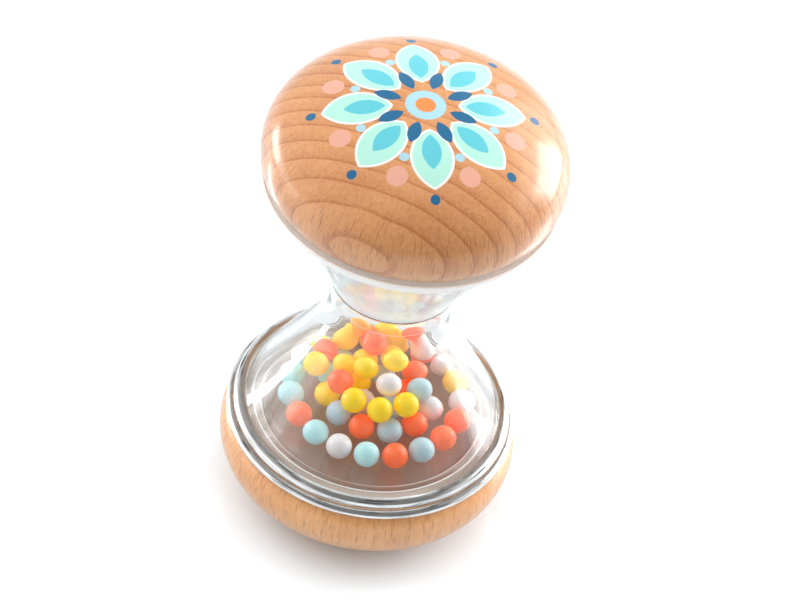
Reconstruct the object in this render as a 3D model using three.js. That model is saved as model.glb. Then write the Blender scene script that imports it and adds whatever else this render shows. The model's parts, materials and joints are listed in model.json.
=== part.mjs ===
// Hourglass rattle: two turned wooden caps hold a clear plastic hourglass of two bells.
// Loose coloured beads lie on the clear plate that closes the lower bell.
// Millimetres, +Z up, origin under the middle of the foot that the rattle stands on.

import * as THREE from 'three';

// Wooden caps
const CAP_RADIUS = 35;
const CAP_HEIGHT = 23;
const SHOULDER_WIDTH = 3.8;
const SHOULDER_HEIGHT = 6;
const DOME_POWER = 2.2;
const FOOT_RADIUS = 12;
const RECESS_DEPTH = 3;

// Clear plates that close the wide ends of the bells
const PLATE_SETBACK = 0.8;
const PLATE_THICKNESS = 1.6;
const PLATE_EDGE_ROUND = 1.3;
const RIB_WIDTH = 1.7;
const RIB_HEIGHT = 0.8;
const RIB_SETBACK = 2;

// Clear bells, each from its rim on the plate to the middle of the throat
const BELL_HEIGHT = 36.9;
const BELL_WALL = 2;
const RIM_SETBACK = 1.5;
const RIM_WIDTH = 2.5;
const RIM_HEIGHT = 2.4;
const RIM_ROUND = 1.6;
const THROAT_RADIUS = 14.2;
const THROAT_STRAIGHT = 3;
const THROAT_FILLET = 14;

// Lap joint of the bells, above the middle of the throat: the lower one's lip sits in the upper one's socket
const JOINT_RISE = 2;
const LIP_HEIGHT = 4.7;
const LIP_WALL = 0.9;
const LIP_CLEARANCE = 0.15;

// Loose beads. The pile leans to the back, so its rings have centres of their own
const BEAD_DIAMETER = 6;
const BEAD_GAP = 0.3;
const BEAD_PITCH = BEAD_DIAMETER + BEAD_GAP;
const PILE_CENTRE = [1.3, 2.3];
const OUTER_CENTRE = [0.6, 1.6];
const UPPER_CENTRE = [1, 0.5];
const TOP_CENTRE = [1.4, 1.4];
const PEAK_CENTRE = [-1.8, 9.2];
const RIB_CLEARANCE = 2.54;

// Each ring of beads from the plate upwards: radius in pitches, first bead's turn, centre and places.
// A count says how many of the places hold a bead, where not all do
const BEAD_RINGS = {
  outer: { pitches: 3.18, turn: 5.9, centre: OUTER_CENTRE, places: 19 },
  middle: { pitches: 2, turn: 138, centre: PILE_CENTRE, places: 12, count: 8 },
  inner: { pitches: 0.89, turn: 16, centre: PILE_CENTRE, places: 5 },
  upper: { pitches: 1.5, turn: 37, centre: UPPER_CENTRE, places: 9 },
  back: { pitches: 2.5, turn: 58, centre: PILE_CENTRE, places: 15, count: 6 },
  top: { pitches: 0.65, turn: 56, centre: TOP_CENTRE, places: 3 },
  peak: { pitches: 0, turn: 0, centre: PEAK_CENTRE, places: 1 },
  crest: { pitches: 2.2, turn: 66, centre: PILE_CENTRE, places: 13, count: 3 },
};

// Glue line between bonded faces
const GLUE_LINE = 0.1;

// Facets
const TURN_FACETS = 40;
const DOME_STEPS = 9;
const SHOULDER_STEPS = 3;
const ROUND_STEPS = 3;
const FILLET_STEPS = 4;
const BEAD_FACETS = 8;
const BEAD_BANDS = 7;
const SETTLE_STEPS = 12;

// Radii that follow from each other, from the cap's edge inwards
const FACE_RADIUS = CAP_RADIUS - SHOULDER_WIDTH;
const PLATE_RADIUS = CAP_RADIUS - PLATE_SETBACK;
const RIM_RADIUS = PLATE_RADIUS - RIM_SETBACK;
const CONE_RADIUS = RIM_RADIUS - RIM_WIDTH;
const THROAT_BORE = THROAT_RADIUS - BELL_WALL;

// Fillet between a bell's cone and its throat, and how far the cone leans from upright
const FILLET_X = THROAT_RADIUS + THROAT_FILLET;
const FILLET_Y = BELL_HEIGHT - THROAT_STRAIGHT;
const TO_FILLET = new THREE.Vector2(FILLET_X - CONE_RADIUS, FILLET_Y - RIM_HEIGHT);
const CONE_LEAN = TO_FILLET.angle() + Math.asin(THROAT_FILLET / TO_FILLET.length()) - Math.PI / 2;

// Inside of a bell: its fillet, its foot, and the rib and the recess within the foot
const INNER_FILLET = THROAT_FILLET + BELL_WALL;
const BORE_RADIUS = FILLET_X + FILLET_Y * Math.tan(CONE_LEAN) - INNER_FILLET / Math.cos(CONE_LEAN);
const RIB_RADIUS = BORE_RADIUS - RIB_SETBACK;
const RECESS_RADIUS = RIB_RADIUS - RIB_WIDTH;

// Pitch of the rings of beads, whose outermost one lies clear of the rib
const OUTER_REACH = RIB_RADIUS - RIB_CLEARANCE - BEAD_DIAMETER / 2 - Math.hypot(...OUTER_CENTRE);
const RING_PITCH = OUTER_REACH / BEAD_RINGS.outer.pitches;

// Heights that follow from each other, from the foot upwards
const LOWER_FACE_Z = domeHeight(FOOT_RADIUS);
const LOWER_PLATE_Z = LOWER_FACE_Z + GLUE_LINE;
const FLOOR_Z = LOWER_PLATE_Z + PLATE_THICKNESS;
const LOWER_BELL_Z = FLOOR_Z + GLUE_LINE;
const MIDDLE_Z = LOWER_BELL_Z + BELL_HEIGHT + GLUE_LINE / 2;
const aboveMiddle = (z) => 2 * MIDDLE_Z - z;

// Colours
const WOOD = 0xd9a06b;
const CLEAR = 0xeef1f0;
const BEAD_PAINTS = {
  a: 0xa9d6d8, // aqua
  b: 0x9fb6c4, // blue
  c: 0xf0583c, // coral
  o: 0xf2962e, // orange
  w: 0xe6dde4, // white
  y: 0xf0c030, // yellow
};

// Bead paints round each ring, repeated as far as the ring needs
const RING_PAINTS = {
  outer: 'wywcyoyybaacawacbcc',
  middle: 'baybcbcw',
  inner: 'cbywb',
  upper: 'cyyycyyyb',
  back: 'wycycy',
  top: 'yyw',
  peak: 'c',
  crest: 'cyo',
};

// Height of the dome above the cap's flat face, at a distance from the axis
function domeHeight(radius) {
  const share = (1 - (radius / CAP_RADIUS) ** DOME_POWER) ** (1 / DOME_POWER);
  return SHOULDER_HEIGHT + (CAP_HEIGHT - SHOULDER_HEIGHT) * share;
}

// Points on a quarter ellipse or a shorter arc, from one angle to another
function arc(centreX, centreY, radiusX, radiusY, from, to, steps) {
  return Array.from({ length: steps + 1 }, (_, i) => {
    const angle = from + ((to - from) * i) / steps;
    return [centreX + radiusX * Math.cos(angle), centreY + radiusY * Math.sin(angle)];
  });
}

// Solid turned round the Z axis from an outline of [radius, height] points
function turned(outline) {
  const points = outline.map(([radius, height]) => new THREE.Vector2(radius, height));
  return new THREE.LatheGeometry(points, TURN_FACETS).rotateX(Math.PI / 2);
}

// Wooden cap: flat face with a shallow recess at height 0, rounded shoulder, dome above
function capGeometry(footRadius) {
  const shoulder = arc(
    FACE_RADIUS, SHOULDER_HEIGHT, SHOULDER_WIDTH, SHOULDER_HEIGHT, -Math.PI / 2, 0, SHOULDER_STEPS);
  const dome = Array.from({ length: DOME_STEPS }, (_, i) => {
    const slope = ((Math.PI / 2) * (i + 1)) / (DOME_STEPS + 1);
    const radius = footRadius + (CAP_RADIUS - footRadius) * Math.cos(slope);
    return [radius, domeHeight(radius)];
  });
  return turned([
    [0, RECESS_DEPTH],
    [RECESS_RADIUS, RECESS_DEPTH],
    [RECESS_RADIUS, 0],
    ...shoulder,
    ...dome,
    ...(footRadius > 0 ? [[footRadius, domeHeight(footRadius)]] : []),
    [0, domeHeight(footRadius)],
  ]);
}

// Clear plate with a rounded edge, and a low rib that keeps the beads off the bell's foot
function plateGeometry() {
  const edgeX = PLATE_RADIUS - PLATE_EDGE_ROUND;
  const edgeY = PLATE_THICKNESS - PLATE_EDGE_ROUND;
  return turned([
    [0, 0],
    [PLATE_RADIUS, 0],
    ...arc(edgeX, edgeY, PLATE_EDGE_ROUND, PLATE_EDGE_ROUND, 0, Math.PI / 2, ROUND_STEPS),
    [RIB_RADIUS, PLATE_THICKNESS],
    [RIB_RADIUS, PLATE_THICKNESS + RIB_HEIGHT],
    [RIB_RADIUS - RIB_WIDTH, PLATE_THICKNESS + RIB_HEIGHT],
    [RIB_RADIUS - RIB_WIDTH, PLATE_THICKNESS],
    [0, PLATE_THICKNESS],
  ]);
}

// Clear bell: stepped rim at height 0, straight cone, fillet and throat, then its end and its inside
function bellGeometry(end, insideStart) {
  const fillet = (radius, from, to) => arc(FILLET_X, FILLET_Y, radius, radius, from, to, FILLET_STEPS);
  return turned([
    [RIM_RADIUS, 0],
    ...arc(
      RIM_RADIUS - RIM_ROUND, RIM_HEIGHT - RIM_ROUND, RIM_ROUND, RIM_ROUND, 0, Math.PI / 2, ROUND_STEPS),
    [CONE_RADIUS, RIM_HEIGHT],
    ...fillet(THROAT_FILLET, Math.PI + CONE_LEAN, Math.PI),
    ...end,
    ...fillet(INNER_FILLET, insideStart, Math.PI + CONE_LEAN),
    [BORE_RADIUS, 0],
    [RIM_RADIUS, 0],
  ]);
}

// Lower bell, whose throat ends in a lip that is half as thick as its wall
function lippedBellGeometry() {
  const shoulder = BELL_HEIGHT + JOINT_RISE;
  const lipTop = shoulder + LIP_HEIGHT;
  const end = [
    [THROAT_RADIUS, shoulder],
    [THROAT_BORE + LIP_WALL, shoulder],
    [THROAT_BORE + LIP_WALL, lipTop],
    [THROAT_BORE, lipTop],
  ];
  return bellGeometry(end, Math.PI);
}

// Upper bell, whose throat ends in a socket for the lip
function socketedBellGeometry() {
  const mouth = BELL_HEIGHT - JOINT_RISE;
  const bottom = mouth - LIP_HEIGHT - LIP_CLEARANCE;
  const socket = THROAT_BORE + LIP_WALL + LIP_CLEARANCE;
  const end = [[THROAT_RADIUS, mouth], [socket, mouth], [socket, bottom]];
  const insideStart = Math.PI + Math.asin((FILLET_Y - bottom) / INNER_FILLET);
  return bellGeometry(end, insideStart);
}

// How many beads fit side by side round a ring
function beadsRound(radius) {
  const half = BEAD_PITCH / 2;
  return radius > half ? Math.floor(Math.PI / Math.asin(half / radius)) : 1;
}

// Places of a ring's beads, as [x, y], anticlockwise
function ringPlaces({ pitches, turn, centre, places, count = places }) {
  const radius = pitches * RING_PITCH;
  const round = Math.min(places, beadsRound(radius));
  return Array.from({ length: Math.min(count, round) }, (_, i) => {
    const angle = THREE.MathUtils.degToRad(turn + (i * 360) / round);
    return [centre[0] + radius * Math.cos(angle), centre[1] + radius * Math.sin(angle)];
  });
}

// Height at which a bead comes to rest, on the plate or on the beads under it
function restHeight(x, y, beads) {
  return beads.reduce((height, bead) => {
    const rise = BEAD_PITCH ** 2 - (x - bead.x) ** 2 - (y - bead.y) ** 2;
    return rise > 0 ? Math.max(height, bead.z + Math.sqrt(rise)) : height;
  }, FLOOR_Z + BEAD_GAP + BEAD_DIAMETER / 2);
}

// How far from the axis a bead at a height lies when it is clear of the lower bell's wall
function wallReach(z) {
  const clear = (BEAD_DIAMETER / 2 + BEAD_GAP) / Math.cos(CONE_LEAN);
  return BORE_RADIUS - (z - LOWER_BELL_Z) * Math.tan(CONE_LEAN) - clear;
}

// Where a bead comes to rest, drawn in from its place in the ring if the wall is in the way
function settled([x, y], beads) {
  const bead = { x, y, z: restHeight(x, y, beads) };
  for (let i = 0; i < SETTLE_STEPS; i += 1) {
    const share = Math.min(1, wallReach(bead.z) / Math.hypot(bead.x, bead.y));
    bead.x *= share;
    bead.y *= share;
    bead.z = restHeight(bead.x, bead.y, beads);
  }
  return bead;
}

// Every bead's name, place and colour
function beadList() {
  const beads = [];
  for (const [ring, layout] of Object.entries(BEAD_RINGS)) {
    ringPlaces(layout).forEach((place, i) => {
      const letter = RING_PAINTS[ring][i % RING_PAINTS[ring].length];
      const number = String(i + 1).padStart(2, '0');
      const name = `bead_${ring}_${number}`;
      beads.push({ name, ...settled(place, beads), colour: BEAD_PAINTS[letter] });
    });
  }
  return beads;
}

const woodFinish = () => new THREE.MeshStandardMaterial({ color: WOOD, roughness: 0.35 });
const beadFinish = (colour) => new THREE.MeshStandardMaterial({ color: colour, roughness: 0.4 });
const clearFinish = () => new THREE.MeshStandardMaterial({
  color: CLEAR, roughness: 0.05, transparent: true, opacity: 0.3,
});

const rattle = new THREE.Group();

// Adds a piece to the rattle, upright or turned upside down, with its origin at a height on the axis
function place(name, geometry, material, z, upsideDown = false) {
  const piece = new THREE.Mesh(geometry, material);
  piece.name = name;
  piece.position.z = z;
  piece.rotation.x = upsideDown ? Math.PI : 0;
  rattle.add(piece);
  return piece;
}

place('bottom_cap', capGeometry(FOOT_RADIUS), woodFinish(), LOWER_FACE_Z, true);
place('lower_end_plate', plateGeometry(), clearFinish(), LOWER_PLATE_Z);
place('lower_bell', lippedBellGeometry(), clearFinish(), LOWER_BELL_Z);
place('upper_bell', socketedBellGeometry(), clearFinish(), aboveMiddle(LOWER_BELL_Z), true);
place('upper_end_plate', plateGeometry(), clearFinish(), aboveMiddle(LOWER_PLATE_Z), true);
place('top_cap', capGeometry(0), woodFinish(), aboveMiddle(LOWER_FACE_Z));

for (const { name, x, y, z, colour } of beadList()) {
  const ball = new THREE.SphereGeometry(BEAD_DIAMETER / 2, BEAD_FACETS, BEAD_BANDS).rotateX(Math.PI / 2);
  place(name, ball, beadFinish(colour), z).position.set(x, y, z);
}

export default rattle;
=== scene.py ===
# Looks of the hourglass rattle: turned beech caps, a clear hourglass and loose coloured beads.
# Metres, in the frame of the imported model. The camera stands on the -Y side.

import json
from math import asin, atan2, cos, hypot, pi, radians, sin, tan

import bpy
from mathutils import Matrix, Vector


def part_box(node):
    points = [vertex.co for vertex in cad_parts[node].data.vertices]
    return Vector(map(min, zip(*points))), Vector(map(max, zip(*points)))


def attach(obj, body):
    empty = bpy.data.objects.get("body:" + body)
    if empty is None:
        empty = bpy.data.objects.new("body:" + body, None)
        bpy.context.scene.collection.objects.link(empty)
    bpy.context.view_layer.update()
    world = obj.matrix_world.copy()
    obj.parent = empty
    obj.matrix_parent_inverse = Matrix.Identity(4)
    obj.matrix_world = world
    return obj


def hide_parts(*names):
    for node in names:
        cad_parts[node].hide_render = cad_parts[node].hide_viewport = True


MM = 0.001

# Facets of the turned pieces and the beads
TURN_STEPS = 160
BEAD_TURN_STEPS = 36
DOME_STEPS = 44
ROUND_STEPS = 10
FILLET_STEPS = 36
CORNER_STEPS = 3
SUPPORT_RATIO = 3
SHARP_ANGLE = radians(40)

# Wooden caps
SHOULDER_WIDTH = 3.8 * MM
SHOULDER_HEIGHT = 6 * MM
DOME_POWER = 2.2
FOOT_RADIUS = 12 * MM
RECESS_DEPTH = 3 * MM

# Clear plates
PLATE_THICKNESS = 1.6 * MM
PLATE_EDGE_ROUND = 1.3 * MM
PLATE_FOOT_ROUND = 0.25 * MM
RIB_WIDTH = 1.7 * MM
RIB_SETBACK = 2 * MM
RIB_FOOT = 0.8 * MM
RIB_STEPS = 14
# Painted highlight lines beside the rib, for light refracted at its edges: how far off its middle, and how
# wide
RIB_HIGHLIGHT_OFF = 0.85 * MM
RIB_HIGHLIGHT_WIDTH = 0.26 * MM

# Clear bells
BELL_WALL = 2 * MM
RIM_WIDTH = 2.5 * MM
RIM_HEIGHT = 2.4 * MM
RIM_ROUND = 1.6 * MM
THROAT_STRAIGHT = 3 * MM
THROAT_FILLET = 14 * MM
THROAT_RADIUS = 14.2 * MM
EDGE_ROUND = 0.25 * MM

# Bonded lap joint of the bells: a seam round the outside, and the end of the lip, where the walls part
JOINT_RISE = 2 * MM
LIP_HEIGHT = 4.7 * MM
SEAM_LINE = 0.12 * MM
JOINT_GAP = 0.1 * MM
THROAT_EASE = 13.4 * MM

# Moulding marks on a bead
SEAM_HEIGHT = 0.025 * MM
SEAM_WIDTH = 0.16 * MM
GATE_RADIUS = 0.42 * MM
GATE_PIP = 0.05 * MM

# Finishes, as sRGB
# The caps are the same beech in two tones: partly different pieces of wood, partly painted light, the lower
# cap lighter for the floor's light on it
UPPER_BEECH = ((234, 168, 112), (194, 120, 68))
LOWER_BEECH_LIT = ((250, 184, 122), (220, 144, 84))
BEECH_FLECK = (140, 82, 44)
# Bare wood under the plates: painted darker in the recess for the shade there, and paler on the flat face,
# which lightens the band seen through the rim
RECESS_WOOD_SHADED = ((200, 160, 141), (169, 128, 111))
FACE_WOOD_PAINTED_LIGHT = ((228, 200, 186), (204, 172, 156))
CLEAR_TINT = (250, 252, 252)
# Round edges of the clear plastic painted opaque: silver with dark streaks of painted reflection below, pale
# with a painted glow above
LOWER_EDGE_PAINTED_SHINE = ((250, 249, 247), (106, 102, 100))
UPPER_EDGE_PAINTED_LIGHT = ((240, 236, 232), (214, 208, 206))
BEAD_COLOURS = {
    "bead_coral": (255, 108, 60),
    "bead_yellow": (255, 212, 24),
    "bead_aqua": (190, 234, 236),
    "bead_blue": (184, 208, 218),
    "bead_white": (248, 238, 238),
    "bead_orange": (255, 168, 50),
}

# Painted glow in each bead's own colour, which makes it as bright as if more light reached it inside the
# bell
BEAD_PAINTED_GLOW = {
    "bead_coral": 0.28,
    "bead_yellow": 0.19,
    "bead_aqua": 0.12,
    "bead_blue": 0.11,
    "bead_white": 0.03,
    "bead_orange": 0.19,
}

# Colours of the painted rosette, as sRGB
PAINT = {
    "mint": (184, 242, 224),
    "aqua": (96, 206, 220),
    "pale_blue": (176, 222, 236),
    "white": (250, 248, 244),
    "deep_blue": (10, 108, 154),
    "peach": (240, 176, 152),
    "orange": (246, 146, 70),
}

# Growth rings: pitch and wander in millimetres, and in each cap the way across them and their strength
RING_PITCH = 4.2
RING_WANDER = 3.2
WANDER_SCALE = 0.035
UPPER_RINGS = (0.24, 1.0, 0.0)
LOWER_RINGS = (1.0, 0.35, 0.0)
UPPER_CONTRAST = 0.75
LOWER_CONTRAST = 0.3

# Each growth ring, as shares of its pitch, and how dark its line and the fading rest are
RING_START = 0.05
RING_LINE_END = 0.2
RING_LINE_SHADE = 0.45
RING_REST_SHADE = 0.5

# Dashes in the wood: their cells in millimetres, and as shares of a cell the core and the edge of a dash.
# Each cell draws a lot for how dark its dash is. They fade between two shares of the top cap's height.
FLECK_WIDE = 0.65
FLECK_TALL = 10.0
FLECK_CORE = 0.05
FLECK_EDGE = 0.2
FLECK_CHOSEN = (0.15, 0.5)
FLECK_SHADE = 0.7
FLECK_SHARE_ON_TOP = 0.12
FADE_START = 0.5
FADE_END = 0.78

# Streaks in the wood: noise per millimetre along each axis, its detail, the part of it used, and its shades
WOOD_STREAKS = [
    {"scale": (1.3, 1.3, 0.1), "detail": 3.0, "part": (0.3, 0.75), "shades": (0.0, 0.3)},
    {"scale": (4.0, 4.0, 0.16), "detail": 2.0, "part": (0.35, 0.7), "shades": (-0.1, 0.25)},
    {"scale": (0.06, 0.06, 0.06), "detail": 2.0, "part": (0.35, 0.7), "shades": (-0.05, 0.2)},
]
BEECH_PATCH_SCALE = 0.3
BEECH_ROUGHNESS = (0.36, 0.46)
PORE_SCALE = 2.0

# Part of a noise that most finishes use, and the detail of the fine ones
NOISE_LOW = 0.3
NOISE_HIGH = 0.7
FINE_DETAIL = 3.0

# Clear plastic: haze of the upper pieces, ripples and streaks per millimetre, and the painted shine of the
# round edges, with a painted glow on the upper ones
UPPER_HAZE = 0.33
HAZE_VARIES = (0.9, 1.1)
RIPPLE_SCALE = (0.3, 0.3, 0.12)
STREAK_SCALE = (0.12, 0.12, 3.0)
STREAK_PART = (0.5, 0.75)
SHINE_VARIES = (0.8, 1.2)
LOWER_SHINE = {"metallic": 0.85, "roughness": 0.18, "shine": 0.5, "glow": 0.0}
UPPER_SHINE = {"metallic": 0.0, "roughness": 0.5, "shine": 0.1, "glow": 0.22}

# Beads: noise per millimetre of the cloud and the grain in their plastic, and how much paler the cloud is
BEAD_CLOUD_SCALE = 0.5
BEAD_CLOUD_PART = (0.35, 0.65)
BEAD_PALER = 0.12
BEAD_GRAIN_SCALE = 6.0
BEAD_ROUGHNESS = (0.3, 0.42)

# Each bead is turned by the golden angle from the last one, and tilted by a share of that
GOLDEN_ANGLE = pi * (3 - 5 ** 0.5)
TILT_SHARE = 0.7

# Painted rosette, in millimetres: distance from the middle, half length and half width of each kind of leaf,
# or distance and radius of each kind of spot. They lie on the leaves' lines or in the gaps between.
ROSETTE_COUNT = 8
ROSETTE_TURN = radians(9)
PAINT_EDGE = 0.06
PAINT_OPACITY = 0.99
ROSETTE = [
    ("leaves", (15.2, 7.9, 5.0), "white"),
    ("leaves", (15.2, 7.3, 4.4), "mint"),
    ("leaves", (13.6, 4.6, 2.2), "aqua"),
    ("gaps", (8.8, 3.2, 1.5), "deep_blue"),
    ("gaps", (21.2, 2.4), "peach"),
    ("gaps", (16.2, 1.1), "pale_blue"),
    ("leaves", (25.2, 1.1), "deep_blue"),
    ("leaves", (0.0, 4.6), "pale_blue"),
    ("leaves", (0.0, 2.3), "orange"),
]

# Lamps: direction from the rattle in degrees round and up, distance and size in metres, and radiance.
# Some only light, and some only show in shiny faces.
LIGHT_ONLY = {"mirrored": False}
MIRROR_ONLY = {"lights": False}
LAMPS = {
    "right_softbox": ((34, 14), 0.75, (0.38, 0.42), 6.5, {}),
    "right_panel": ((40, 22), 0.9, (0.9, 0.7), 1.3, {}),
    "left_strip": ((158, 4), 0.6, (0.23, 0.13), 8.5, MIRROR_ONLY),
    "left_panel": ((184, 2), 1.0, (0.46, 0.17), 1.15, MIRROR_ONLY),
    "left_wing": ((191, 4), 1.1, (0.95, 0.26), 0.9, MIRROR_ONLY),
    "left_fill": ((168, 38), 1.1, (1.1, 0.8), 1.7, LIGHT_ONLY),
}

# Bright patches of floor that only show in shiny faces: degrees round, distance, size and radiance
FLOOR_LAMPS = {
    "left_floor_strip": (163, 0.2, (0.013, 0.2), 9.0),
    "right_floor_patch": (14, 0.17, (0.05, 0.16), 2.0),
}
FLOOR_LAMP_LIFT = 3 * MM
UP = Vector((0, 0, 1))

# Studio all round: where it is dim, as a direction in degrees and the edge of that part as cosines, how high
# overhead it gets dim, and its levels from bright to dim, for shiny faces and as light
DIM_WAY = (-72, 36)
DIM_EDGE = (0.58, 0.74)
OVERHEAD_EDGE = (0.45, 0.7)
OVERHEAD_SHARE = 0.8
SHOWN_LEVELS = (0.8, 0.1)
LIGHT_LEVELS = (1.33, 0.7315)

# How much brighter the floor is than its paint, to the camera, in mirrored light and through clear plastic.
# The glow starts beside the rattle, is full some way off and ends far off, in millimetres. Next to the
# rattle it is left out, which paints a deeper shadow round its foot.
FLOOR_GLOW = {"Is Camera Ray": 0.36, "Is Glossy Ray": 0.1, "Is Transmission Ray": 0.0}
GLOW_START = 20
GLOW_FULL = 44
GLOW_FADE = 320
GLOW_END = 900
FLOOR_COLOUR = (226, 236, 243)
WHITE = (255, 255, 255)
FLOOR_HALF = 4.0

# Camera, from the middle of the lower cap's flat face
CAMERA_ELEVATION = radians(45.548)
CAMERA_ROLL = radians(10.426)
CAMERA_DISTANCE = 1128.44 * MM
CAMERA_ASIDE = 2.23 * MM
CAMERA_ABOVE = 26.76 * MM
FOCAL_PIXELS = 4776.06
IMAGE_WIDTH = 800
SENSOR_WIDTH = 36
CAMERA_NEAR = 0.01
CAMERA_FAR = 20

# How often light may turn in the clear plastic and between shiny faces
CLEAR_BOUNCES = 64
MIRROR_BOUNCES = 16

# Inputs of the Mix node, which has a pair for each kind of value, and its output for colours
NUMBER_A, NUMBER_B = 2, 3
COLOUR_A, COLOUR_B = 6, 7
COLOUR_OUT = 2

# Materials of a cap and of a clear piece, by their number on the mesh
VARNISHED, RECESS, FACE = 0, 1, 2
BODY, EDGE, LINE = 0, 1, 2

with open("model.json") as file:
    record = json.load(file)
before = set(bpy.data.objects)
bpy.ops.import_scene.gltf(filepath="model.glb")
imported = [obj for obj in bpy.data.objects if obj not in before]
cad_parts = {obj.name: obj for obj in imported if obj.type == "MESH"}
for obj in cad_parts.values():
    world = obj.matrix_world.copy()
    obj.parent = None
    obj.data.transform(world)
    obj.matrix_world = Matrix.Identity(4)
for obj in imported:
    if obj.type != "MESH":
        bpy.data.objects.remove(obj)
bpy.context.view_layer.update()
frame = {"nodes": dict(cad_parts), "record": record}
SLOTS = {part["node"]: part["material_slot"] for part in frame["record"]["subparts"]}


def reach(node):
    """Outer radius, lowest height and highest height of a turned node."""
    low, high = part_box(node)
    return high.x, low.z, high.z


CAP_RADIUS, UPPER_FACE_Z, TOP_Z = reach("top_cap")
LOWER_FACE_Z = reach("bottom_cap")[2]
PLATE_RADIUS, LOWER_PLATE_Z, RIB_TOP_Z = reach("lower_end_plate")
UPPER_PLATE_Z = reach("upper_end_plate")[2]
RIM_RADIUS, LOWER_BELL_Z, LOWER_BELL_TOP_Z = reach("lower_bell")
UPPER_BELL_Z = reach("upper_bell")[2]

CAP_HEIGHT = TOP_Z - UPPER_FACE_Z
FACE_RADIUS = CAP_RADIUS - SHOULDER_WIDTH
BELL_HEIGHT = LOWER_BELL_TOP_Z - LOWER_BELL_Z - LIP_HEIGHT - JOINT_RISE
CONE_RADIUS = RIM_RADIUS - RIM_WIDTH
FILLET_X = THROAT_RADIUS + THROAT_FILLET
FILLET_Y = BELL_HEIGHT - THROAT_STRAIGHT
FILLET_RUN = FILLET_X - CONE_RADIUS
FILLET_RISE = FILLET_Y - RIM_HEIGHT
CONE_LEAN = atan2(FILLET_RISE, FILLET_RUN) + asin(THROAT_FILLET / hypot(FILLET_RUN, FILLET_RISE)) - pi / 2
INNER_FILLET = THROAT_FILLET + BELL_WALL
BORE_RADIUS = FILLET_X + FILLET_Y * tan(CONE_LEAN) - INNER_FILLET / cos(CONE_LEAN)
RIB_RADIUS = BORE_RADIUS - RIB_SETBACK
RECESS_RADIUS = RIB_RADIUS - RIB_WIDTH
RIB_TOP = RIB_TOP_Z - LOWER_PLATE_Z
SEAM_Y = BELL_HEIGHT + JOINT_RISE

# Heights between which the dashes in the wood fade
TOP_FADE = (UPPER_FACE_Z + FADE_START * CAP_HEIGHT, UPPER_FACE_Z + FADE_END * CAP_HEIGHT)
NO_FADE = (TOP_Z, 2 * TOP_Z)


# Outlines, as points of radius and height


def arc(centre, radius, start, end, steps):
    """Points on an arc of an ellipse, from one angle to another."""
    angles = [start + (end - start) * i / steps for i in range(steps + 1)]
    return [(centre[0] + radius[0] * cos(a), centre[1] + radius[1] * sin(a)) for a in angles]


def softened(outline):
    """The outline with each corner that names a rounding cut to a small curve."""
    made = []
    for i, point in enumerate(outline):
        if len(point) < 3:
            made.append(Vector(point))
            continue
        corner = Vector(point[:2])
        sides = [Vector(outline[i - 1][:2]) - corner, Vector(outline[(i + 1) % len(outline)][:2]) - corner]
        start, end = (corner + side.normalized() * point[2] for side in sides)
        for step in range(CORNER_STEPS + 1):
            t = step / CORNER_STEPS
            made.append(start * (1 - t) ** 2 + corner * 2 * t * (1 - t) + end * t ** 2)
    return made


def supported(outline):
    """The outline with points added where a long straight meets a short one, which keep its shading flat."""
    points = [Vector(point) for point in outline]
    closed = points[0].x > 0
    spans = [(points[(i + 1) % len(points)] - point) for i, point in enumerate(points)]
    made = []
    for i, point in enumerate(points):
        made.append(point)
        if i == len(points) - 1 and not closed:
            break
        length = spans[i].length
        before = spans[i - 1].length if i or closed else length
        last = i == len(points) - 2 and not closed
        after = length if last else spans[(i + 1) % len(points)].length
        if before * SUPPORT_RATIO < length:
            made.append(point + spans[i] * (before / 2 / length))
        if after * SUPPORT_RATIO < length:
            made.append(point + spans[i] * (1 - after / 2 / length))
    return made


def dome_height(radius):
    """Height of a cap's dome above its flat face."""
    share = (1 - min(radius / CAP_RADIUS, 1) ** DOME_POWER) ** (1 / DOME_POWER)
    return SHOULDER_HEIGHT + (CAP_HEIGHT - SHOULDER_HEIGHT) * share


def cap_outline(foot_radius):
    """Recess, flat face, rounded shoulder and dome of a cap. The first three points are the recess."""
    size = (SHOULDER_WIDTH, SHOULDER_HEIGHT)
    shoulder = arc((FACE_RADIUS, SHOULDER_HEIGHT), size, -pi / 2, 0, 2 * ROUND_STEPS)
    slopes = [pi / 2 * i / DOME_STEPS for i in range(1, DOME_STEPS)]
    radii = [foot_radius + (CAP_RADIUS - foot_radius) * cos(slope) for slope in slopes]
    dome = [(radius, dome_height(radius)) for radius in radii]
    foot = [(foot_radius, dome_height(foot_radius))] if foot_radius else []
    return [
        (0, RECESS_DEPTH),
        (RECESS_RADIUS, RECESS_DEPTH),
        (RECESS_RADIUS, 0),
        *shoulder,
        *dome,
        *foot,
        (0, dome_height(foot_radius)),
    ]


def rib_outline():
    """Smooth low rib on a plate, from its outer foot to its inner one."""
    middle = RIB_RADIUS - RIB_WIDTH / 2
    half = RIB_WIDTH / 2 + RIB_FOOT
    rise = RIB_TOP - PLATE_THICKNESS

    def place(share):
        return middle + half * (1 - 2 * share), PLATE_THICKNESS + rise * (1 - cos(2 * pi * share)) / 2

    return [place(i / RIB_STEPS) for i in range(RIB_STEPS + 1)]


def plate_outline():
    """Round-edged disc with a low rib that keeps the beads off the bell's foot."""
    top = PLATE_THICKNESS - PLATE_EDGE_ROUND
    rounding = (PLATE_EDGE_ROUND, PLATE_EDGE_ROUND)
    return softened([
        (0, 0),
        (PLATE_RADIUS, 0, PLATE_FOOT_ROUND),
        *arc((PLATE_RADIUS - PLATE_EDGE_ROUND, top), rounding, 0, pi / 2, ROUND_STEPS),
        *rib_outline(),
        (0, PLATE_THICKNESS),
    ])


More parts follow.
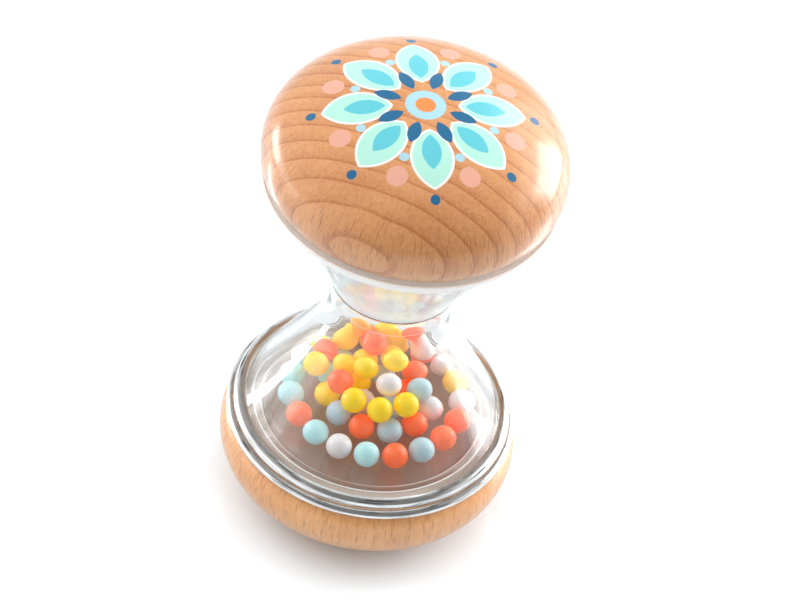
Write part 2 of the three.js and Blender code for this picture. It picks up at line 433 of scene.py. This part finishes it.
def throat_curve():
    """Half of the throat, from its middle to the cone, as radius, distance from the middle and lean."""
    radius, away = THROAT_RADIUS, 0.0
    step = THROAT_EASE / FILLET_STEPS
    made = []
    for i in range(FILLET_STEPS + 1):
        share = i / FILLET_STEPS
        lean = CONE_LEAN * share * share * (3 - 2 * share)
        made.append((radius, away, lean))
        radius += step * sin(lean)
        away += step * cos(lean)
    return made


def bell_wall(depth, end):
    """One side of a bell's wall, at a depth under its outside, from the cone up to a height."""
    half = [(r - depth * cos(lean), away + depth * sin(lean)) for r, away, lean in throat_curve()]
    points = [(r, BELL_HEIGHT - away) for r, away in half[::-1]]
    points += [(r, BELL_HEIGHT + away) for r, away in half[1:]]
    made = points[:1]
    for below, above in zip(points, points[1:]):
        for height in (SEAM_Y - SEAM_LINE / 2, SEAM_Y + SEAM_LINE / 2, end):
            if below[1] < height < above[1]:
                share = (height - below[1]) / (above[1] - below[1])
                made.append((below[0] + (above[0] - below[0]) * share, height))
        if above[1] > end:
            return made
        made.append(above)
    return made


def bell_outline(rise):
    """Stepped rim, straight cone and throat up to where the walls part, then back down inside."""
    end = BELL_HEIGHT + rise - JOINT_GAP / 2
    outside = bell_wall(0, end)
    inside = bell_wall(BELL_WALL, end)[::-1]
    outside[-1] += (EDGE_ROUND,)
    inside[0] += (EDGE_ROUND,)
    rim_centre = (RIM_RADIUS - RIM_ROUND, RIM_HEIGHT - RIM_ROUND)
    return softened([
        (RIM_RADIUS, 0, EDGE_ROUND),
        *arc(rim_centre, (RIM_ROUND, RIM_ROUND), 0, pi / 2, ROUND_STEPS),
        (CONE_RADIUS, RIM_HEIGHT, EDGE_ROUND),
        *outside,
        *inside,
        (BORE_RADIUS, 0, EDGE_ROUND),
    ])


def bead_outline(radius):
    """Ball with the mould's parting line round it and the gate's flat and pip at one pole."""
    gate = asin(GATE_RADIUS / radius)
    slopes = [-pi / 2 + (pi - gate) * i / BEAD_TURN_STEPS for i in range(1, BEAD_TURN_STEPS + 1)]
    seam = SEAM_WIDTH / radius
    slopes = sorted([s for s in slopes if abs(s) > 2 * seam] + [seam * i / 2 for i in range(-3, 4)])
    made = [(0, -radius)]
    for slope in slopes:
        at = radius - SEAM_HEIGHT * (1 - max(0, 1 - abs(slope) / seam))
        made.append((at * cos(slope), at * sin(slope)))
    flat = made[-1][1]
    return made + [(GATE_RADIUS / 2, flat), (GATE_RADIUS / 3, flat + GATE_PIP), (0, flat + GATE_PIP)]


# Meshes


def lathe(name, outline, steps, base=0.0, upside_down=False, rule=None):
    """Mesh turned round the Z axis. A rule may pick the material's number by radius and height."""
    outline = supported(outline)
    verts, faces, rings, picked = [], [], [], []
    for radius, height in outline:
        count = steps if radius > 0 else 1
        z = base - height if upside_down else base + height
        rings.append(range(len(verts), len(verts) + count))
        angles = [2 * pi * i / steps for i in range(count)]
        verts.extend((radius * cos(angle), radius * sin(angle), z) for angle in angles)
    rows = len(rings) if outline[0].x > 0 else len(rings) - 1
    for row in range(rows):
        ring = rings[row]
        above = rings[(row + 1) % len(rings)]
        middle = (outline[row] + outline[(row + 1) % len(rings)]) / 2
        picked.extend([rule(middle.x, middle.y) if rule else 0] * steps)
        for i in range(steps):
            j = (i + 1) % steps
            lower = (ring[i % len(ring)], ring[j % len(ring)])
            upper = (above[j % len(above)], above[i % len(above)])
            face = list(dict.fromkeys(lower + upper))
            faces.append(face[::-1] if upside_down else face)
    mesh = bpy.data.meshes.new(name)
    mesh.from_pydata(verts, [], faces)
    mesh.polygons.foreach_set("use_smooth", [True] * len(faces))
    mesh.polygons.foreach_set("material_index", picked)
    mesh.set_sharp_from_angle(angle=SHARP_ANGLE)
    return mesh


def cap_material(radius, height):
    """Varnish outside; bare wood in the recess and on the flat face, the recess painted darker for shade and
    the face paler for light.
    """
    if radius > FACE_RADIUS or height > RECESS_DEPTH + EDGE_ROUND:
        return VARNISHED
    return FACE if radius > RECESS_RADIUS else RECESS


def plate_material(radius, height):
    """Clear disc with an edge of painted shine, and a painted highlight line on each side of the rib."""
    off = abs(radius - RIB_RADIUS + RIB_WIDTH / 2)
    if height > PLATE_THICKNESS and abs(off - RIB_HIGHLIGHT_OFF) < RIB_HIGHLIGHT_WIDTH / 2:
        return LINE
    return EDGE if radius > PLATE_RADIUS - PLATE_EDGE_ROUND else BODY


def upper_plate_material(radius, height):
    """Clear disc with an edge of painted light."""
    return EDGE if radius > RIM_RADIUS - RIM_ROUND else BODY


def bell_material(radius, height):
    """Clear wall with a rim of painted shine, and a pale seam round the outside of the throat with a painted
    glow.
    """
    if abs(height - SEAM_Y) < SEAM_LINE / 2 and radius > THROAT_RADIUS - EDGE_ROUND:
        return LINE
    return EDGE if radius > RIM_RADIUS - RIM_ROUND else BODY


def show(name, mesh, node):
    """Puts a mesh in the scene in place of a node."""
    piece = bpy.data.objects.new(name, mesh)
    bpy.context.scene.collection.objects.link(piece)
    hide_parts(node)
    return piece


# Materials


def linear(colour):
    """An sRGB colour of 0 to 255 as the linear colour that a shader takes."""
    shares = [c / 255 for c in colour]
    return (*[c / 12.92 if c <= 0.04045 else ((c + 0.055) / 1.055) ** 2.4 for c in shares], 1)


class Nodes:
    """A node tree, with short calls for the nodes that the looks use."""

    def __init__(self, tree):
        self.tree = tree
        tree.nodes.clear()

    def add(self, kind, inputs=None, **settings):
        """A new node. Each input takes a value or another node's output."""
        node = self.tree.nodes.new("ShaderNode" + kind)
        for key, value in settings.items():
            setattr(node, key, value)
        for key, value in (inputs or {}).items():
            if isinstance(value, bpy.types.NodeSocket):
                self.tree.links.new(value, node.inputs[key])
            else:
                node.inputs[key].default_value = value
        return node

    def maths(self, operation, a, b=0.0):
        """A sum of two values or outputs."""
        return self.add("Math", {0: a, 1: b}, operation=operation).outputs[0]

    def length(self, a, b):
        """How far off a place is, from its two sides."""
        squares = [self.maths("MULTIPLY", side, side) for side in (a, b)]
        return self.maths("SQRT", self.maths("ADD", *squares))

    def stretched(self, point, scale):
        """A point in millimetres, with each axis scaled."""
        return self.add("VectorMath", {0: point, 1: scale}, operation="MULTIPLY").outputs[0]

    def ramp(self, value, low, high, to_low=0.0, to_high=1.0):
        """A value eased from one range to another."""
        inputs = {"Value": value, "From Min": low, "From Max": high, "To Min": to_low, "To Max": to_high}
        return self.add("MapRange", inputs, interpolation_type="SMOOTHSTEP").outputs[0]

    def between(self, share, first, last):
        """A number between two others, by a share."""
        return self.add("MapRange", {"Value": share, "To Min": first, "To Max": last}).outputs[0]

    def spread(self, noise, low, high):
        """The middle of a noise spread over a range."""
        return self.ramp(noise, NOISE_LOW, NOISE_HIGH, low, high)

    def noise(self, point, scale, detail=2.0):
        """Soft noise at a point."""
        return self.add("TexNoise", {"Vector": point, "Scale": scale, "Detail": detail}).outputs["Fac"]

    def blend(self, share, first, second):
        """Two colours mixed by a share."""
        inputs = {"Factor": share, COLOUR_A: first, COLOUR_B: second}
        return self.add("Mix", inputs, data_type="RGBA").outputs[COLOUR_OUT]

    def point(self):
        """The place on the piece, in millimetres."""
        place = self.add("TexCoord").outputs["Object"]
        return self.stretched(place, (1 / MM, 1 / MM, 1 / MM))

    def bump(self, height, strength, distance):
        """Normal that follows a height."""
        inputs = {"Height": height, "Strength": strength, "Distance": distance}
        return self.add("Bump", inputs).outputs[0]


class Finish(Nodes):
    """A material and its nodes."""

    def __init__(self, name):
        self.material = bpy.data.materials.new(name)
        self.material.use_nodes = True
        super().__init__(self.material.node_tree)

    def done(self, shader):
        """Sends a shader to the material's output."""
        output = self.add("OutputMaterial")
        self.tree.links.new(shader.outputs[0], output.inputs["Surface"])
        return self.material


def growth_rings(finish, point, way):
    """How dark the growth rings are: each one starts with a thin line and fades."""
    wander = finish.maths("MULTIPLY", finish.noise(point, WANDER_SCALE), RING_WANDER)
    across = finish.add("VectorMath", {0: point, 1: way}, operation="DOT_PRODUCT").outputs["Value"]
    across = finish.maths("ADD", across, wander)
    share = finish.maths("FRACT", finish.maths("DIVIDE", across, RING_PITCH))
    start = finish.ramp(share, 0.0, RING_START)
    faded = finish.maths("POWER", finish.maths("SUBTRACT", 1.0, share), 2.0)
    rest = finish.maths("MULTIPLY", faded, RING_REST_SHADE)
    line = finish.ramp(share, RING_START, RING_LINE_END, RING_LINE_SHADE, 0.0)
    return finish.maths("MULTIPLY", finish.maths("ADD", rest, line), start)


def ray_flecks(finish, point, fade):
    """Thin dark dashes up and down a turned piece, fewer above a height."""
    axes = finish.add("SeparateXYZ", {0: point}).outputs
    angle = finish.maths("ARCTAN2", axes["X"], finish.maths("MULTIPLY", axes["Y"], -1.0))
    across = finish.maths("MULTIPLY", angle, CAP_RADIUS / MM / FLECK_WIDE)
    along = finish.maths("DIVIDE", axes["Z"], FLECK_TALL)
    cells = finish.add("CombineXYZ", {0: across, 1: along}).outputs[0]
    spots = finish.add("TexVoronoi", {"Vector": cells, "Scale": 1.0}, voronoi_dimensions="2D")
    near = finish.ramp(spots.outputs["Distance"], FLECK_CORE, FLECK_EDGE, 1.0, 0.0)
    lot = finish.add("SeparateColor", {0: spots.outputs["Color"]}).outputs[0]
    chosen = finish.ramp(lot, *FLECK_CHOSEN)
    kept = finish.ramp(axes["Z"], fade[0] / MM, fade[1] / MM, 1.0, FLECK_SHARE_ON_TOP)
    return finish.maths("MULTIPLY", finish.maths("MULTIPLY", near, chosen), kept)


def wood_colour(finish, way, contrast, wood):
    """Colour of beech whose grain runs along Z and whose rings lie across a way."""
    point = finish.point()
    shade = finish.maths("MULTIPLY", growth_rings(finish, point, way), contrast)
    for streak in WOOD_STREAKS:
        noise = finish.noise(finish.stretched(point, streak["scale"]), scale=1.0, detail=streak["detail"])
        shade = finish.maths("ADD", shade, finish.ramp(noise, *streak["part"], *streak["shades"]))
    light, dark = wood
    return finish.blend(shade, linear(light), linear(dark))


def folded(finish, count, turn):
    """Folds the plane round the axis into one sector: how far along its middle, and how far beside."""
    axes = finish.add("SeparateXYZ", {0: finish.point()})
    x, y = axes.outputs["X"], axes.outputs["Y"]
    sector = 2 * pi / count
    angle = finish.maths("ADD", finish.maths("ARCTAN2", y, x), turn)
    angle = finish.maths("SUBTRACT", finish.maths("FLOORED_MODULO", angle, sector), sector / 2)
    radius = finish.length(x, y)
    along = finish.maths("MULTIPLY", radius, finish.maths("COSINE", angle))
    beside = finish.maths("MULTIPLY", radius, finish.maths("SINE", angle))
    return along, finish.maths("ABSOLUTE", beside)


def disc(finish, place, centre, radius):
    """Mask of a round spot, in millimetres."""
    off = finish.maths("SUBTRACT", place[0], centre)
    away = finish.length(off, place[1])
    return finish.ramp(away, radius - PAINT_EDGE, radius + PAINT_EDGE, 1.0, 0.0)


def leaf(finish, place, centre, half_length, half_width):
    """Mask of a pointed leaf, in millimetres."""
    radius = (half_length ** 2 + half_width ** 2) / (2 * half_width)
    beside = finish.maths("ADD", place[1], radius - half_width)
    return disc(finish, (place[0], beside), centre, radius)


def rosette(finish, colour):
    """Painted rosette of leaves and dots over a colour."""
    sector = 2 * pi / ROSETTE_COUNT
    places = {
        "leaves": folded(finish, ROSETTE_COUNT, ROSETTE_TURN),
        "gaps": folded(finish, ROSETTE_COUNT, ROSETTE_TURN + sector / 2),
    }
    for line, sizes, paint in ROSETTE:
        shape = leaf if len(sizes) == 3 else disc
        mask = finish.maths("MULTIPLY", shape(finish, places[line], *sizes), PAINT_OPACITY)
        colour = finish.blend(mask, colour, linear(PAINT[paint]))
    return colour


def beech(name, way, contrast, wood, fade, painted):
    """Varnished beech, with or without the rosette."""
    finish = Finish(name)
    flecks = ray_flecks(finish, finish.point(), fade)
    colour = wood_colour(finish, way, contrast, wood)
    colour = finish.blend(finish.maths("MULTIPLY", flecks, FLECK_SHADE), colour, linear(BEECH_FLECK))
    if painted:
        colour = rosette(finish, colour)
    patches = finish.noise(finish.point(), BEECH_PATCH_SCALE)
    return finish.done(finish.add("BsdfPrincipled", {
        "Base Color": colour,
        "Roughness": finish.spread(patches, *BEECH_ROUGHNESS),
        "Specular IOR Level": 0.3,
        "Coat Weight": 0.9,
        "Coat Roughness": 0.17,
        "Coat IOR": 1.6,
        "Normal": finish.bump(flecks, strength=0.15, distance=-0.05 * MM),
    }))


def bare_wood(name, wood):
    """Wood without varnish behind a plate, whose given colours carry painted shade in the recess and painted
    light on the flat face.
    """
    finish = Finish(name)
    pores = finish.noise(finish.point(), PORE_SCALE, FINE_DETAIL)
    return finish.done(finish.add("BsdfPrincipled", {
        "Base Color": wood_colour(finish, LOWER_RINGS, 0.0, wood),
        "Roughness": 0.6,
        "Normal": finish.bump(pores, strength=0.1, distance=0.05 * MM),
    }))


def clear_plastic(name, haze):
    """Clear polished plastic with a share of haze. It lets the lamps through to what it holds."""
    finish = Finish(name)
    ripple = finish.noise(finish.stretched(finish.point(), RIPPLE_SCALE), scale=1.0, detail=1.0)
    glass = finish.add("BsdfPrincipled", {
        "Base Color": linear(CLEAR_TINT),
        "Roughness": 0.02,
        "IOR": 1.49,
        "Transmission Weight": 1.0,
        "Normal": finish.bump(ripple, strength=0.04, distance=0.3 * MM),
    })
    if haze:
        veil = finish.add("BsdfPrincipled", {"Base Color": linear(CLEAR_TINT), "Roughness": 0.5})
        share = finish.spread(ripple, *[haze * part for part in HAZE_VARIES])
        glass = finish.add("MixShader", {0: share, 1: glass.outputs[0], 2: veil.outputs[0]})
    open_way = finish.add("BsdfTransparent", {"Color": linear(CLEAR_TINT)})
    path = finish.add("LightPath")
    for ray in ("Is Shadow Ray", "Is Diffuse Ray"):
        glass = finish.add("MixShader", {0: path.outputs[ray], 1: glass.outputs[0], 2: open_way.outputs[0]})
    return finish.done(glass)


def painted_shine_edge(name, colours, metallic, roughness, shine, glow):
    """Rounded edge of clear plastic drawn opaque, as painted light in place of the light that turns back
    inside it: streaked silver with painted reflection, and a painted glow where one is given.
    """
    finish = Finish(name)
    streaks = finish.noise(finish.stretched(finish.point(), STREAK_SCALE), scale=1.0, detail=FINE_DETAIL)
    light, dark = colours
    return finish.done(finish.add("BsdfPrincipled", {
        "Base Color": finish.blend(finish.ramp(streaks, *STREAK_PART), linear(light), linear(dark)),
        "Metallic": metallic,
        "Specular IOR Level": shine,
        # Painted glow, though the edge is no lamp
        "Emission Color": linear(light),
        "Emission Strength": glow,
        "Roughness": finish.spread(streaks, *[roughness * part for part in SHINE_VARIES]),
        "Normal": finish.bump(streaks, strength=0.06, distance=0.2 * MM),
    }))


def bead_plastic(slot):
    """Satin moulded plastic with a faint cloud in its colour, and a painted glow in that colour."""
    finish = Finish(slot)
    point = finish.point()
    cloud = finish.ramp(finish.noise(point, BEAD_CLOUD_SCALE), *BEAD_CLOUD_PART)
    colour = BEAD_COLOURS[slot]
    paler = tuple(c + (255 - c) * BEAD_PALER for c in colour)
    grain = finish.noise(point, BEAD_GRAIN_SCALE, FINE_DETAIL)
    return finish.done(finish.add("BsdfPrincipled", {
        "Base Color": finish.blend(cloud, linear(colour), linear(paler)),
        "Roughness": finish.spread(grain, *BEAD_ROUGHNESS),
        # Painted light: the bead glows in its own colour, though it is no lamp
        "Emission Color": linear(colour),
        "Emission Strength": BEAD_PAINTED_GLOW[slot],
        "Subsurface Weight": 0.12,
        "Subsurface Radius": (1.0, 0.7, 0.5),
        "Subsurface Scale": 1 * MM,
        "Normal": finish.bump(grain, strength=0.05, distance=0.05 * MM),
    }))


# Pieces


def add_caps():
    """The two turned caps."""
    # Painted shade in the recess, painted light on the flat face
    inside = bare_wood("recess_wood_painted_shade", RECESS_WOOD_SHADED)
    face = bare_wood("face_wood_painted_light", FACE_WOOD_PAINTED_LIGHT)
    upper_look = (UPPER_RINGS, UPPER_CONTRAST, UPPER_BEECH, TOP_FADE, True)
    lower_look = (LOWER_RINGS, LOWER_CONTRAST, LOWER_BEECH_LIT, NO_FADE, False)
    caps = [
        ("top_cap", UPPER_FACE_Z, False, 0, upper_look),
        ("bottom_cap", LOWER_FACE_Z, True, FOOT_RADIUS, lower_look),
    ]
    for node, base, upside_down, foot, look in caps:
        mesh = lathe(node + "_turned", cap_outline(foot), TURN_STEPS, base, upside_down, cap_material)
        mesh.materials.append(beech(node + "_beech", *look))
        mesh.materials.append(inside)
        mesh.materials.append(face)
        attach(show(node + "_turned", mesh, node), "shell")


def add_clear_pieces():
    """The two plates and the two bells."""
    plastic = clear_plastic("clear_plastic", 0.0)
    hazy = clear_plastic("hazy_plastic", UPPER_HAZE)
    lower_painted_shine = painted_shine_edge("lower_painted_shine", LOWER_EDGE_PAINTED_SHINE, **LOWER_SHINE)
    upper_painted_light = painted_shine_edge("upper_painted_light", UPPER_EDGE_PAINTED_LIGHT, **UPPER_SHINE)
    lap = JOINT_RISE + LIP_HEIGHT
    lower = (False, plastic, lower_painted_shine)
    upper = (True, hazy, upper_painted_light)
    clear = [
        ("lower_end_plate", plate_outline(), LOWER_PLATE_Z, plate_material, lower),
        ("upper_end_plate", plate_outline(), UPPER_PLATE_Z, upper_plate_material, upper),
        ("lower_bell", bell_outline(lap), LOWER_BELL_Z, bell_material, lower),
        ("upper_bell", bell_outline(-lap), UPPER_BELL_Z, bell_material, upper),
    ]
    for node, outline, base, rule, (upside_down, body, edge) in clear:
        mesh = lathe(node + "_clear", outline, TURN_STEPS, base, upside_down, rule)
        for material in (body, edge, upper_painted_light):
            mesh.materials.append(material)
        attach(show(node + "_clear", mesh, node), "shell")


def add_beads():
    """The loose beads. Those of one colour share a mesh."""
    nodes = sorted(node for node in frame["nodes"] if node.startswith("bead_"))
    meshes = {}
    for i, node in enumerate(nodes):
        low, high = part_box(node)
        slot = SLOTS[node]
        if slot not in meshes:
            radius = (high.z - low.z) / 2
            meshes[slot] = lathe(slot, bead_outline(radius), BEAD_TURN_STEPS)
            meshes[slot].materials.append(bead_plastic(slot))
        bead = show(node + "_ball", meshes[slot], node)
        turn = GOLDEN_ANGLE * i
        tilt = Matrix.Rotation(turn, 4, "Z") @ Matrix.Rotation(turn * TILT_SHARE, 4, "X")
        bead.matrix_world = Matrix.Translation((low + high) / 2) @ tilt
        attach(bead, node)


# Stage


def towards(azimuth, elevation):
    """Direction from the object, in degrees round from +X and up from the floor."""
    a, e = radians(azimuth), radians(elevation)
    return Vector((cos(e) * cos(a), cos(e) * sin(a), sin(e)))


def add_lamp(name, place, aim, size, radiance, lights=True, mirrored=True):
    """Soft rectangular lamp at a place, facing a point. It may only light, or only show in shiny faces."""
    width, height = size
    data = bpy.data.lights.new(name, "AREA")
    data.shape = "RECTANGLE"
    data.size = width
    data.size_y = height
    data.energy = radiance * pi * width * height
    lamp = bpy.data.objects.new(name, data)
    bpy.context.scene.collection.objects.link(lamp)
    back = place - aim
    lamp.matrix_world = Matrix.Translation(place) @ back.to_track_quat("Z", "Y").to_matrix().to_4x4()
    lamp.visible_camera = False
    lamp.visible_diffuse = lights
    lamp.visible_glossy = mirrored


def add_floor_lamp(name, azimuth, distance, size, radiance):
    """Flat lamp that lies along a line from the object, facing up. It only shows in shiny faces."""
    along = towards(azimuth, 0)
    place = along * distance + Vector((0, 0, FLOOR_LAMP_LIFT))
    add_lamp(name, place, place + UP + along * MM, size, radiance, lights=False)


def add_lamps():
    """Softboxes on both sides, and bright patches of floor that the clear bell mirrors."""
    middle = Vector((0, 0, TOP_Z / 2))
    for name, (way, distance, size, radiance, use) in LAMPS.items():
        add_lamp(name, middle + towards(*way) * distance, middle, size, radiance, **use)
    for name, lamp in FLOOR_LAMPS.items():
        add_floor_lamp(name, *lamp)


def add_world():
    """Pale studio, dimmer behind the camera and overhead. Shiny faces and clear plastic show it darker."""
    world = bpy.data.worlds.new("studio")
    bpy.context.scene.world = world
    world.use_nodes = True
    nodes = Nodes(world.node_tree)
    way = nodes.add("TexCoord").outputs["Generated"]
    facing = nodes.add("VectorMath", {0: way, 1: towards(*DIM_WAY)}, operation="DOT_PRODUCT")
    dim = nodes.ramp(facing.outputs["Value"], *DIM_EDGE)
    height = nodes.add("SeparateXYZ", {0: way}).outputs["Z"]
    overhead = nodes.ramp(height, *OVERHEAD_EDGE, 0.0, OVERHEAD_SHARE)
    shown = nodes.between(nodes.maths("MAXIMUM", dim, overhead), *SHOWN_LEVELS)
    lit = nodes.between(dim, *LIGHT_LEVELS)
    path = nodes.add("LightPath").outputs
    mirrored = nodes.maths("MAXIMUM", path["Is Glossy Ray"], path["Is Transmission Ray"])
    level = nodes.add("Mix", {"Factor": mirrored, NUMBER_A: lit, NUMBER_B: shown}).outputs[0]
    background = nodes.add("Background", {"Strength": level})
    nodes.tree.links.new(background.outputs[0], nodes.add("OutputWorld").inputs["Surface"])


def add_floor():
    """Wide white floor that keeps the rattle's shadow, deepened round its foot by a painted shadow where the
    glow is left out.
    """
    mesh = bpy.data.meshes.new("floor")
    corners = [(x * FLOOR_HALF, y * FLOOR_HALF, 0) for x, y in ((-1, -1), (1, -1), (1, 1), (-1, 1))]
    mesh.from_pydata(corners, [], [(0, 1, 2, 3)])
    floor = bpy.data.objects.new("floor", mesh)
    bpy.context.scene.collection.objects.link(floor)
    finish = Finish("floor_paper")
    paper = finish.add("BsdfPrincipled", {"Base Color": linear(FLOOR_COLOUR), "Roughness": 0.12})
    path = finish.add("LightPath")
    strength = 0.0
    for ray, level in FLOOR_GLOW.items():
        strength = finish.maths("ADD", finish.maths("MULTIPLY", path.outputs[ray], level), strength)
    away = finish.add("VectorMath", {0: finish.point()}, operation="LENGTH").outputs["Value"]
    # Painted shadow: the glow is left out next to the rattle
    strength = finish.maths("MULTIPLY", strength, finish.ramp(away, GLOW_START, GLOW_FULL))
    strength = finish.maths("MULTIPLY", strength, finish.ramp(away, GLOW_FADE, GLOW_END, 1.0, 0.0))
    glow = finish.add("Emission", {"Color": linear(WHITE), "Strength": strength})
    mesh.materials.append(finish.done(finish.add("AddShader", {0: paper.outputs[0], 1: glow.outputs[0]})))


def add_camera():
    """Camera at the photograph's angle."""
    right = Vector((1, 0, 0))
    up = Vector((0, sin(CAMERA_ELEVATION), cos(CAMERA_ELEVATION)))
    ahead = Vector((0, cos(CAMERA_ELEVATION), -sin(CAMERA_ELEVATION)))
    data = bpy.data.cameras.new("camera")
    data.sensor_width = SENSOR_WIDTH
    data.lens = FOCAL_PIXELS * SENSOR_WIDTH / IMAGE_WIDTH
    data.clip_start = CAMERA_NEAR
    data.clip_end = CAMERA_FAR
    camera = bpy.data.objects.new("camera", data)
    bpy.context.scene.collection.objects.link(camera)
    side = right * cos(CAMERA_ROLL) + up * sin(CAMERA_ROLL)
    top = up * cos(CAMERA_ROLL) - right * sin(CAMERA_ROLL)
    aim = Vector((0, 0, LOWER_FACE_Z)) + right * CAMERA_ASIDE + up * CAMERA_ABOVE
    place = aim - ahead * CAMERA_DISTANCE
    turn = Matrix((side, top, -ahead)).transposed().to_4x4()
    camera.matrix_world = Matrix.Translation(place) @ turn
    bpy.context.scene.camera = camera


bpy.context.scene.view_settings.view_transform = "Standard"
bpy.context.scene.cycles.max_bounces = CLEAR_BOUNCES
bpy.context.scene.cycles.transmission_bounces = CLEAR_BOUNCES
bpy.context.scene.cycles.glossy_bounces = MIRROR_BOUNCES
add_camera()
add_caps()
add_clear_pieces()
add_beads()
add_lamps()
add_world()
add_floor()
